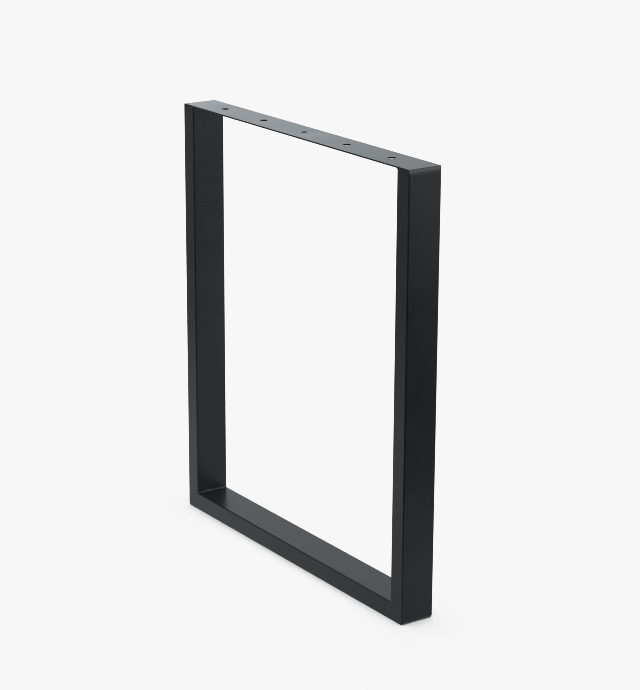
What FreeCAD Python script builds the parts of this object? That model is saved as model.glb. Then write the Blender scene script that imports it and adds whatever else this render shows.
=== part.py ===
import FreeCAD, Part
import math
import os

# U shaped table leg: a welded frame of rectangular steel tube closed by a flat mounting plate.
# X runs across the leg, Y from front to back and Z up, in millimetres.
# The origin is on the floor, under the middle of the foot rail.

# Driving dimensions of the frame
overall_height = 720.0  # floor to the top of the mounting plate
overall_width = 630.0  # across the outer faces of the uprights
tube_depth = 60.0  # tube section from front to back
tube_width = 30.0  # tube section in the plane of the frame
tube_wall = 1.5
tube_corner = 2.0  # outer rounding along the long edges of a tube
tube_inner_corner_least = 0.3

# Driving dimensions of the mounting plate
plate_thickness = 2.5
plate_edge = 0.6  # rounding along the plate's long edges
plate_end_edge = 1.8  # rounding along the top of the plate's ends
hole_pitch = 116.0  # between neighbouring holes, on the plate's centre line
fixing_hole = 12.5  # diameter of the two holes on each side of the middle
centre_hole = 10.0  # diameter of the hole in the middle
hole_edge = 0.5  # rounding of the hole rims

# Driving dimensions of the welds and of the grinding
weld_leg = 4.0  # leg of the fillet beads in the inner corners
weld_bulge = 0.4  # how far a bead's face stands out from the chord between its toes
mitre_extra = 3.0  # what grinding adds to the tube's rounding at the foot's outer corners
blend_height = 10.0  # how far the ground weld at the plate's ends runs down the uprights
blend_inset = 1.5  # how far that ground face leans in at the plate's top

# How far a cutting tool reaches past what it cuts
reach = 5.0

# Sizes that follow from the driving dimensions
half_width = overall_width / 2
inner_half_width = half_width - tube_width
upright_height = overall_height - plate_thickness
flat_depth = tube_depth - 2 * tube_corner
mitre_round = tube_corner + mitre_extra
blend_radius = (blend_height ** 2 + blend_inset ** 2) / (2 * blend_inset)

SIDES = {"left": -1, "right": 1}


def vector(x, y, z):
    return FreeCAD.Vector(x, y, z)


def bar(width, depth, corner, length):
    """Solid bar that stands on the XY plane, centred on Z, with its long edges rounded."""
    block = Part.makeBox(width, depth, length, vector(-width / 2, -depth / 2, 0))
    long_edges = [edge for edge in block.Edges if edge.BoundBox.ZLength > length / 2]
    return block.makeFillet(corner, long_edges)


def tube(length):
    """Rectangular tube that stands on the XY plane, centred on Z."""
    inner_corner = max(tube_corner - tube_wall, tube_inner_corner_least)
    outside = bar(tube_width, tube_depth, tube_corner, length)
    inside = bar(tube_width - 2 * tube_wall, tube_depth - 2 * tube_wall, inner_corner, length)
    return outside.cut(inside)


def prism(edges, depth):
    """Prism of a closed outline in the XZ plane, centred on Y."""
    face = Part.Face(Part.Wire(edges))
    face.translate(vector(0, -depth / 2, 0))
    return face.extrude(vector(0, depth, 0))


def outline(corners):
    """Straight edges through points of the XZ plane, in order."""
    points = [vector(x, 0, z) for x, z in corners]
    return [Part.makeLine(start, end) for start, end in zip(points, points[1:])]


def beyond_mitre(side, corner_x, corner_z):
    """Wedge on one side of a foot corner's mitre plane, with its right angle at the given point."""
    low = (side * (half_width + reach), -reach)
    high = (side * (inner_half_width - reach), tube_width + reach)
    return prism(outline([low, high, (corner_x, corner_z), low]), tube_depth + 2 * reach)


def foot_corner_trim(side):
    """What grinding takes off the outer corner where an upright meets the foot rail."""
    edge_x = side * (half_width + reach)
    centre_x = side * (half_width - mitre_round)
    corners = [(edge_x, -reach), (centre_x, -reach), (centre_x, mitre_round), (edge_x, mitre_round)]
    block = prism(outline(corners + corners[:1]), tube_depth + 2 * reach)
    start = vector(centre_x, -tube_depth / 2, mitre_round)
    rounded = Part.makeCylinder(mitre_round, tube_depth, start, vector(0, 1, 0))
    rims = [edge for edge in rounded.Edges if edge.isClosed()]
    return block.cut(rounded.makeFillet(tube_corner, rims))


def plate_end_trim(side):
    """What grinding takes off a plate end and the upright below it: beyond an arc that leans in."""
    def on_arc(angle):
        lean = blend_radius * (1 - math.cos(angle))
        rise = blend_radius * math.sin(angle)
        return vector(side * (half_width - lean), 0, overall_height - blend_height + rise)

    top_angle = math.asin(blend_height / blend_radius)
    low = on_arc(0)
    top = on_arc(top_angle)
    arc = Part.Arc(low, on_arc(top_angle / 2), top).toShape()
    outer_x = side * (half_width + reach)
    outer_z = overall_height + reach
    corners = [(top.x, top.z), (top.x, outer_z), (outer_x, outer_z), (outer_x, low.z), (low.x, low.z)]
    return prism([arc] + outline(corners), tube_depth + 2 * reach)


def upright(side):
    """Upright tube, mitred at the foot and cut square under the plate."""
    post = tube(upright_height)
    post.translate(vector(side * (half_width - tube_width / 2), 0, 0))
    post = post.cut(beyond_mitre(side, side * (inner_half_width - reach), -reach))
    return post.cut(foot_corner_trim(side)).cut(plate_end_trim(side))


def foot_rail():
    """Tube along the floor, mitred at both ends."""
    rail = tube(overall_width)
    rail.rotate(vector(0, 0, 0), vector(0, 1, 0), 90)
    rail.translate(vector(-half_width, 0, tube_width / 2))
    for side in SIDES.values():
        rail = rail.cut(beyond_mitre(side, side * (half_width + reach), tube_width + reach))
        rail = rail.cut(foot_corner_trim(side))
    return rail


def mounting_plate():
    """Flat bar across both uprights, ground round at its ends, with a row of five holes."""
    plate = bar(overall_width, tube_depth, tube_corner, plate_thickness)
    plate.translate(vector(0, 0, upright_height))
    for side in SIDES.values():
        plate = plate.cut(plate_end_trim(side))
    end_edges = [edge for edge in plate.Edges if is_top_end_edge(edge)]
    plate = plate.makeFillet(plate_end_edge, end_edges)
    long_edges = [edge for edge in plate.Edges if edge.BoundBox.XLength > overall_width / 2]
    plate = plate.makeFillet(plate_edge, long_edges)
    for step in range(-2, 3):
        diameter = fixing_hole if step else centre_hole
        start = vector(step * hole_pitch, 0, upright_height - reach)
        plate = plate.cut(Part.makeCylinder(diameter / 2, plate_thickness + 2 * reach, start))
    rims = [edge for edge in plate.Edges if edge.isClosed()]
    return plate.makeFillet(hole_edge, rims)


def is_top_end_edge(edge):
    box = edge.BoundBox
    return box.YLength > tube_depth / 2 and box.ZMin > overall_height - plate_edge


def corner_bead(side, corner_z, rise):
    """Fillet bead along an upright's inner face, from a flat face that it leaves in the direction of rise."""
    corner = vector(side * inner_half_width, 0, corner_z)
    level_toe = corner + vector(-side * weld_leg, 0, 0)
    upright_toe = corner + vector(0, 0, rise * weld_leg)
    outward = vector(-side, 0, rise).normalize()
    crown = (level_toe + upright_toe) * 0.5 + outward * weld_bulge
    face_arc = Part.Arc(level_toe, crown, upright_toe).toShape()
    legs = [Part.makeLine(upright_toe, corner), Part.makeLine(corner, level_toe)]
    return prism([face_arc] + legs, flat_depth)


shapes = {"foot_rail": foot_rail(), "mounting_plate": mounting_plate()}
for name, side in SIDES.items():
    shapes[name + "_upright"] = upright(side)
    shapes[name + "_foot_weld"] = corner_bead(side, tube_width, 1)
    shapes[name + "_plate_weld"] = corner_bead(side, upright_height, -1)

os.makedirs("parts", exist_ok=True)
for node, shape in shapes.items():
    shape.exportStep("parts/" + node + ".step")
    print(node, len(shape.Solids), "solid,", round(shape.Volume), "cubic mm, valid:", shape.isValid())
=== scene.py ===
import math

import bpy
from mathutils import Matrix, Vector, noise


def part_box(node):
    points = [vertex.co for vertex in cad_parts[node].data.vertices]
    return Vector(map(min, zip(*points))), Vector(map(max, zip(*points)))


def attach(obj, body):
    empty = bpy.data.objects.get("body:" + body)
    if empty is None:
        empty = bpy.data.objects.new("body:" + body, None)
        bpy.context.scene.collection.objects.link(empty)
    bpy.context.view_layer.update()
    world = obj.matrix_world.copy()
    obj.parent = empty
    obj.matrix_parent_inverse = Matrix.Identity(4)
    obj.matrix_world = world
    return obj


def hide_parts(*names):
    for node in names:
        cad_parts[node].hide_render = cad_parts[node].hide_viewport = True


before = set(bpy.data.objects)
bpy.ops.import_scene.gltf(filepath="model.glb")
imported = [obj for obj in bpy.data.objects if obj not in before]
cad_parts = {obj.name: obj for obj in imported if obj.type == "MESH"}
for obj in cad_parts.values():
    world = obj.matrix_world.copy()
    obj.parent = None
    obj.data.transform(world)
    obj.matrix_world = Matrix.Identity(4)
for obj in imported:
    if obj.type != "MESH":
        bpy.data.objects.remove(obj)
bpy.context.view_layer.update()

# Camera at the photograph's place, in metres, radians, pixels and, for the sensor, millimetres
camera_place = Vector((2.7803, -1.8976, 1.3939))
camera_turn = 0.96399  # about the vertical, from looking along +Y
camera_dip = 0.29527  # below the horizontal
camera_roll = 0.00506
focal_pixels = 2172.0
image_long_side = 690
sensor_side = 36.0
picture_filter = 0.9  # in pixels, for edges as crisp as the photograph's

# Weld beads: the ripples that a hand welder leaves, in metres, and their phase in ripples
ripple_pitch = 0.0017
ripple_height = 0.00022
ripple_bow = 0.9  # between the edges and the middle of a bead
ripple_drift = 0.5

# Weld beads: their faces, as shares of the solid bead's leg and in metres
face_share = 0.7
face_wander = 0.08
face_heave = 0.6
face_swell = 0.0003
face_hollow = 0.0003  # how far the middle of a face lies behind its chord
end_share = 0.45  # size at a bead's very end
end_length = 0.5  # stretch over which an end rounds off, in legs
bead_reach = 0.0012  # how far a bead runs on past the flat of the tube
bead_root = 0.0003  # how far a bead reaches into its corner

# Weld beads: noise along them, in cycles for each metre, and the mesh
wander_scale = 170
swell_scale = 420
heave_scale = 60
bead_rows_per_pitch = 8
bead_columns = 14

# Powder coat: noise in cycles for each metre, and heights of its relief in metres
coat_ior = 1.45
coat_roughness = (0.26, 0.31)
coat_shades = [(0.0021, 0.0024, 0.0026, 1), (0.0030, 0.0033, 0.0036, 1)]
cloud_scale = 9
peel_scale = 420
peel_height = 0.00004
grain_scale = 2600
grain_height = 0.000012
relief_strength = 0.4

# Dust nibs under the coat: how many cells for each metre, and a nib's radius and height in metres
nib_density = 20.0
nib_radius = 0.0005
nib_height = 0.0001

# Floor and overhead light: sizes in metres, spread and lean in degrees
floor_half = 40.0
floor_gap = 0.0001
floor_colour = (0.85, 0.85, 0.85, 1)
floor_roughness = 0.9
overhead_strength = 5.0
overhead_spread = 90.0
overhead_lean = 4.5  # towards the left end of the leg
backdrop_level = 1.4

# Tone curve in linear light: the floor is exposed past white, which fades out its soft shadows
tone_points = [(0.0, 0.0), (0.5, 0.5), (0.81, 0.76), (0.93, 0.855), (1.06, 0.89), (1.18, 0.922), (1.3, 0.93)]

# Surrounding that the gloss reflects: azimuth and elevation in degrees, tightness, strength
room_level = 0.05
room_tint = (0.925, 1.0, 1.06, 1)  # a little cool
glows = [(-15, 5, 60, 2.5), (-2, 5, 60, 1.37), (35, 5, 60, 2.0), (-35, 22, 25, 0.5), (8, 32, 60, 0.76),
         (45, 45, 12, 0.42), (0, 90, 6, 1.6), (90, 10, 12, 1.4), (106, 15, 20, 1.25), (108, 4, 30, 1.5),
         (-135, 10, 12, 0.4), (180, 7, 5, 1.4), (-95, 10, 14, 0.9), (32, 51, 25, 2.6)]

# Painted pools of light on the glowing sheet that only the gloss sees, in metres away from the camera and to
# the right of the picture:
# depth where a stretch starts and where it is full, middle and width to the side, strength
dim_floor_level = 0.06
painted_light_pools = [(-0.8, 0.4, 0.0, 0.9, 0.51), (-0.7, 0.6, 1.5, 0.7, 3.0), (-0.8, 0.0, -0.6, 0.5, 0.31),
         (-0.8, 0.0, -1.4, 0.6, 0.17), (-9.0, -8.0, -3.4, 1.5, 0.44), (-9.0, -8.0, -7.5, 2.5, 0.1),
         (-1.0, -0.65, 2.6, 0.6, 0.55), (-9.0, -8.0, 3.6, 0.9, 0.7), (-9.0, -8.0, 7.0, 2.5, 1.0)]
# Painted spots of light on it, the last one a painted darker patch: middle and width in depth, middle and
# width to the side, strength
painted_light_spots = [(-0.25, 0.3, 0.1, 0.4, 0.13), (-0.4, 0.3, 0.5, 0.3, 0.24), (-0.64, 0.2, 1.35, 0.5, -0.07)]

# Directions of the set, seen from above: away from the camera, and to the right of the picture
away = Vector((-math.sin(camera_turn), math.cos(camera_turn), 0))
rightward = Vector((math.cos(camera_turn), math.sin(camera_turn), 0))


def add_node(tree, kind, inputs=None, **settings):
    """New shader node with its settings and the values of its unlinked inputs."""
    node = tree.nodes.new(kind)
    for name, value in settings.items():
        setattr(node, name, value)
    for name, value in (inputs or {}).items():
        node.inputs[name].default_value = value
    return node


def noise_texture(tree, place, scale, detail):
    """Noise in object space, with its scale in cycles for each metre."""
    texture = add_node(tree, "ShaderNodeTexNoise", {"Scale": scale, "Detail": detail})
    tree.links.new(place, texture.inputs["Vector"])
    return texture.outputs["Fac"]


def spread(tree, value, low, high, from_low=0.3, from_high=0.7):
    """The value taken from its usual span to the span between low and high."""
    values = {"From Min": from_low, "From Max": from_high, "To Min": low, "To Max": high}
    ranged = add_node(tree, "ShaderNodeMapRange", values)
    tree.links.new(value, ranged.inputs["Value"])
    return ranged.outputs["Result"]


def bump(tree, height, distance, strength, below=None):
    """Bump from a height, laid over another bump's normal."""
    node = add_node(tree, "ShaderNodeBump", {"Distance": distance, "Strength": strength})
    tree.links.new(height, node.inputs["Height"])
    if below:
        tree.links.new(below, node.inputs["Normal"])
    return node.outputs["Normal"]


def new_material(name):
    """Material with its node tree and its shader."""
    material = bpy.data.materials.new(name)
    material.use_nodes = True
    tree = material.node_tree
    return material, tree, tree.nodes["Principled BSDF"]


def powder_coat(name):
    """Satin black powder coat: orange peel, fine grain, slow changes of gloss and shade, a few dust nibs."""
    material, tree, shader = new_material(name)
    place = add_node(tree, "ShaderNodeTexCoord").outputs["Object"]
    shader.inputs["IOR"].default_value = coat_ior
    cloud = noise_texture(tree, place, cloud_scale, 3)
    tree.links.new(spread(tree, cloud, *coat_roughness), shader.inputs["Roughness"])
    shade = add_node(tree, "ShaderNodeValToRGB")
    for element, colour in zip(shade.color_ramp.elements, coat_shades):
        element.color = colour
    tree.links.new(cloud, shade.inputs["Fac"])
    tree.links.new(shade.outputs["Color"], shader.inputs["Base Color"])
    peel = bump(tree, noise_texture(tree, place, peel_scale, 2), peel_height, relief_strength)
    grain = bump(tree, noise_texture(tree, place, grain_scale, 2), grain_height, relief_strength, peel)
    cells = add_node(tree, "ShaderNodeTexVoronoi", {"Scale": nib_density})
    tree.links.new(place, cells.inputs["Vector"])
    nib = spread(tree, cells.outputs["Distance"], 1, 0, 0, nib_radius * nib_density)
    tree.links.new(bump(tree, nib, nib_height, 1.0, grain), shader.inputs["Normal"])
    return material


def pale_floor(name):
    """Matt pale floor that is clear from below, for a look at the underside."""
    material, tree, shader = new_material(name)
    shader.inputs["Base Color"].default_value = floor_colour
    shader.inputs["Roughness"].default_value = floor_roughness
    shader.inputs["Specular IOR Level"].default_value = 0.0
    either = add_node(tree, "ShaderNodeMixShader")
    below = add_node(tree, "ShaderNodeNewGeometry").outputs["Backfacing"]
    clear = add_node(tree, "ShaderNodeBsdfTransparent").outputs["BSDF"]
    tree.links.new(below, either.inputs[0])
    tree.links.new(shader.outputs["BSDF"], either.inputs[1])
    tree.links.new(clear, either.inputs[2])
    tree.links.new(either.outputs["Shader"], tree.nodes["Material Output"].inputs["Surface"])
    return material


def calculate(tree, operation, *values):
    """Math node on sockets and plain numbers."""
    node = add_node(tree, "ShaderNodeMath", operation=operation)
    for socket, value in zip(node.inputs, values):
        if isinstance(value, (int, float)):
            socket.default_value = value
        else:
            tree.links.new(value, socket)
    return node.outputs["Value"]


def along_axis(tree, place, axis):
    """How far a place or a direction reaches along an axis."""
    node = add_node(tree, "ShaderNodeVectorMath", operation="DOT_PRODUCT")
    tree.links.new(place, node.inputs[0])
    node.inputs[1].default_value = axis
    return node.outputs["Value"]


def bell(tree, value, middle, width):
    """Bell curve of the value, one at its middle."""
    offset = calculate(tree, "DIVIDE", calculate(tree, "SUBTRACT", value, middle), width)
    return calculate(tree, "EXPONENT", calculate(tree, "MULTIPLY", calculate(tree, "POWER", offset, 2), -1))


def sky_direction(azimuth, elevation):
    """Direction at degrees to the right of straight away from the camera, and above the horizon."""
    turn = math.radians(azimuth)
    rise = math.radians(elevation)
    level = away * math.cos(turn) + rightward * math.sin(turn)
    return level * math.cos(rise) + Vector((0, 0, math.sin(rise)))


def add_reflected_sky():
    """World that only the coat's gloss sees, soft glows in a dim room; the camera sees a pale backdrop."""
    world = bpy.data.worlds.new("studio")
    bpy.context.scene.world = world
    world.use_nodes = True
    world.cycles_visibility.diffuse = False
    tree = world.node_tree
    direction = add_node(tree, "ShaderNodeTexCoord").outputs["Generated"]
    total = room_level
    for azimuth, elevation, tightness, strength in glows:
        nearness = along_axis(tree, direction, sky_direction(azimuth, elevation))
        fall = calculate(tree, "MULTIPLY", calculate(tree, "SUBTRACT", nearness, 1), tightness)
        glow = calculate(tree, "MULTIPLY", calculate(tree, "EXPONENT", fall), strength)
        total = calculate(tree, "ADD", total, glow)
    seen = add_node(tree, "ShaderNodeMix", {"B": backdrop_level})
    tree.links.new(add_node(tree, "ShaderNodeLightPath").outputs["Is Camera Ray"], seen.inputs["Factor"])
    tree.links.new(total, seen.inputs["A"])
    tree.links.new(seen.outputs["Result"], tree.nodes["Background"].inputs["Strength"])
    tree.nodes["Background"].inputs["Color"].default_value = room_tint


def painted_reflection_floor(name):
    """Glowing sheet that only the coat's gloss sees: painted pools and spots of light on a dim glow,
    standing in for a lit floor in the reflections.
    """
    material, tree, shader = new_material(name)
    tree.nodes.remove(shader)
    place = add_node(tree, "ShaderNodeNewGeometry").outputs["Position"]
    depth = along_axis(tree, place, away)
    side = along_axis(tree, place, rightward)
    total = dim_floor_level
    for near, far, middle, width, strength in painted_light_pools:
        values = {"From Min": near, "From Max": far}
        lit = add_node(tree, "ShaderNodeMapRange", values, interpolation_type="SMOOTHSTEP")
        tree.links.new(depth, lit.inputs["Value"])
        pool = calculate(tree, "MULTIPLY", lit.outputs["Result"], bell(tree, side, middle, width))
        total = calculate(tree, "ADD", total, calculate(tree, "MULTIPLY", pool, strength))
    for along, length, middle, width, strength in painted_light_spots:
        spot = calculate(tree, "MULTIPLY", bell(tree, depth, along, length), bell(tree, side, middle, width))
        total = calculate(tree, "ADD", total, calculate(tree, "MULTIPLY", spot, strength))
    light = add_node(tree, "ShaderNodeEmission", {"Color": room_tint})
    tree.links.new(total, light.inputs["Strength"])
    tree.links.new(light.outputs["Emission"], tree.nodes["Material Output"].inputs["Surface"])
    return material


def set_tone(view):
    """Standard view with a soft shoulder just below white."""
    view.view_transform = "Standard"
    view.use_curve_mapping = True
    mapping = view.curve_mapping
    brightest, shown_brightest = tone_points[-1]
    mapping.white_level = (brightest, brightest, brightest)
    mapping.extend = "HORIZONTAL"
    points = mapping.curves[3].points
    points[1].location = (1, shown_brightest)
    for light, shown in tone_points[1:-1]:
        points.new(light / brightest, shown)
    mapping.update()


def flat_sheet(name, material):
    """Square sheet of the stage, just below the floor's level."""
    corners = [(-floor_half, -floor_half, -floor_gap), (floor_half, -floor_half, -floor_gap),
               (floor_half, floor_half, -floor_gap), (-floor_half, floor_half, -floor_gap)]
    mesh = bpy.data.meshes.new(name)
    mesh.from_pydata(corners, [], [(0, 1, 2, 3)])
    mesh.materials.append(material)
    sheet = bpy.data.objects.new(name, mesh)
    bpy.context.scene.collection.objects.link(sheet)
    return sheet


def bead_radius(turn, along, half_length, leg, seed):
    """Distance of a bead's face from its corner, at a share of the quarter turn and a place along it."""
    angle = turn * math.pi / 2
    chord = leg / (math.cos(angle) + math.sin(angle))
    crown = math.sin(math.pi * turn)
    wander = noise.noise(Vector((along * wander_scale, seed, 0)))
    swell = noise.noise(Vector((along * swell_scale, seed, 5)))
    heave = noise.noise(Vector((along * heave_scale, seed, 9)))
    phase = along / ripple_pitch + ripple_bow * crown + ripple_drift * wander
    ridge = abs(math.sin(math.pi * phase))
    from_end = half_length - abs(along)
    inward = min(1.0, max(0.0, from_end / (end_length * leg)))
    end_round = end_share + (1 - end_share) * math.sqrt(1 - (1 - inward) ** 2)
    face = chord * (face_share + face_wander * wander + face_heave * heave)
    face += crown * (ripple_height * ridge + face_swell * swell - face_hollow)
    return face * end_round


def weld_bead(node, side, rise, seed):
    """Rippled bead in an inner corner: side is the upright's sign in X, rise the way it climbs in Z."""
    low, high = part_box(node)
    leg = high.x - low.x
    corner_x = high.x if side > 0 else low.x
    corner_z = low.z if rise > 0 else high.z
    half_length = (high.y - low.y) / 2 + bead_reach
    rows = int(2 * half_length / ripple_pitch * bead_rows_per_pitch)
    points = []
    faces = []
    ring = bead_columns + 2
    for row in range(rows + 1):
        along = -half_length + 2 * half_length * row / rows
        for column in range(bead_columns + 1):
            turn = column / bead_columns
            radius = bead_radius(turn, along, half_length, leg, seed)
            x = corner_x - side * radius * math.cos(turn * math.pi / 2)
            z = corner_z + rise * radius * math.sin(turn * math.pi / 2)
            points.append((x, along, z))
        points.append((corner_x + side * bead_root, along, corner_z - rise * bead_root))
    for row in range(rows):
        for column in range(ring):
            here = row * ring + column
            beside = row * ring + (column + 1) % ring
            faces.append((here, beside, beside + ring, here + ring))
    faces.append(tuple(range(ring)))
    faces.append(tuple(reversed(range(rows * ring, rows * ring + ring))))
    mesh = bpy.data.meshes.new(node + "_bead")
    mesh.from_pydata(points, [], faces)
    mesh.validate()
    piece = bpy.data.objects.new(node + "_bead", mesh)
    bpy.context.scene.collection.objects.link(piece)
    bpy.context.view_layer.objects.active = piece
    piece.select_set(True)
    bpy.ops.object.mode_set(mode="EDIT")
    bpy.ops.mesh.select_all(action="SELECT")
    bpy.ops.mesh.normals_make_consistent(inside=False)
    bpy.ops.object.mode_set(mode="OBJECT")
    mesh.shade_smooth()
    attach(piece, "root")
    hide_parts(node)
    return piece


# Object
coat = powder_coat("black_coat_finish")
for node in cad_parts.values():
    node.data.materials.clear()
    node.data.materials.append(coat)
beads = [weld_bead("left_foot_weld", -1, 1, 19.2), weld_bead("right_foot_weld", 1, 1, 4.1),
         weld_bead("left_plate_weld", -1, -1, 7.7), weld_bead("right_plate_weld", 1, -1, 9.2)]
for bead in beads:
    bead.data.materials.append(coat)

# Stage: the floor is lit from above and seen by the camera, and the gloss sees a glowing sheet of its own
# with painted pools of light
floor = flat_sheet("floor", pale_floor("pale_floor"))
floor.visible_glossy = False
glossy_floor = flat_sheet("painted_reflection_sheet", painted_reflection_floor("painted_reflection_sheet"))
glossy_floor.visible_camera = False
glossy_floor.visible_diffuse = False
glossy_floor.visible_shadow = False
overhead = bpy.data.lights.new("overhead", "SUN")
overhead.energy = overhead_strength
overhead.angle = math.radians(overhead_spread)
overhead_lamp = bpy.data.objects.new("overhead", overhead)
overhead_lamp.visible_glossy = False
overhead_lamp.rotation_euler = (0, math.radians(-overhead_lean), 0)
bpy.context.scene.collection.objects.link(overhead_lamp)
add_reflected_sky()

# Camera and picture
set_tone(bpy.context.scene.view_settings)
bpy.context.scene.cycles.filter_width = picture_filter
camera = bpy.data.cameras.new("photo_camera")
camera.sensor_width = sensor_side
camera.lens = focal_pixels * sensor_side / image_long_side
camera_object = bpy.data.objects.new("photo_camera", camera)
camera_object.matrix_world = (
    Matrix.Translation(camera_place)
    @ Matrix.Rotation(camera_turn, 4, "Z")
    @ Matrix.Rotation(math.pi / 2 - camera_dip, 4, "X")
    @ Matrix.Rotation(camera_roll, 4, "Z")
)
bpy.context.scene.collection.objects.link(camera_object)
bpy.context.scene.camera = camera_object
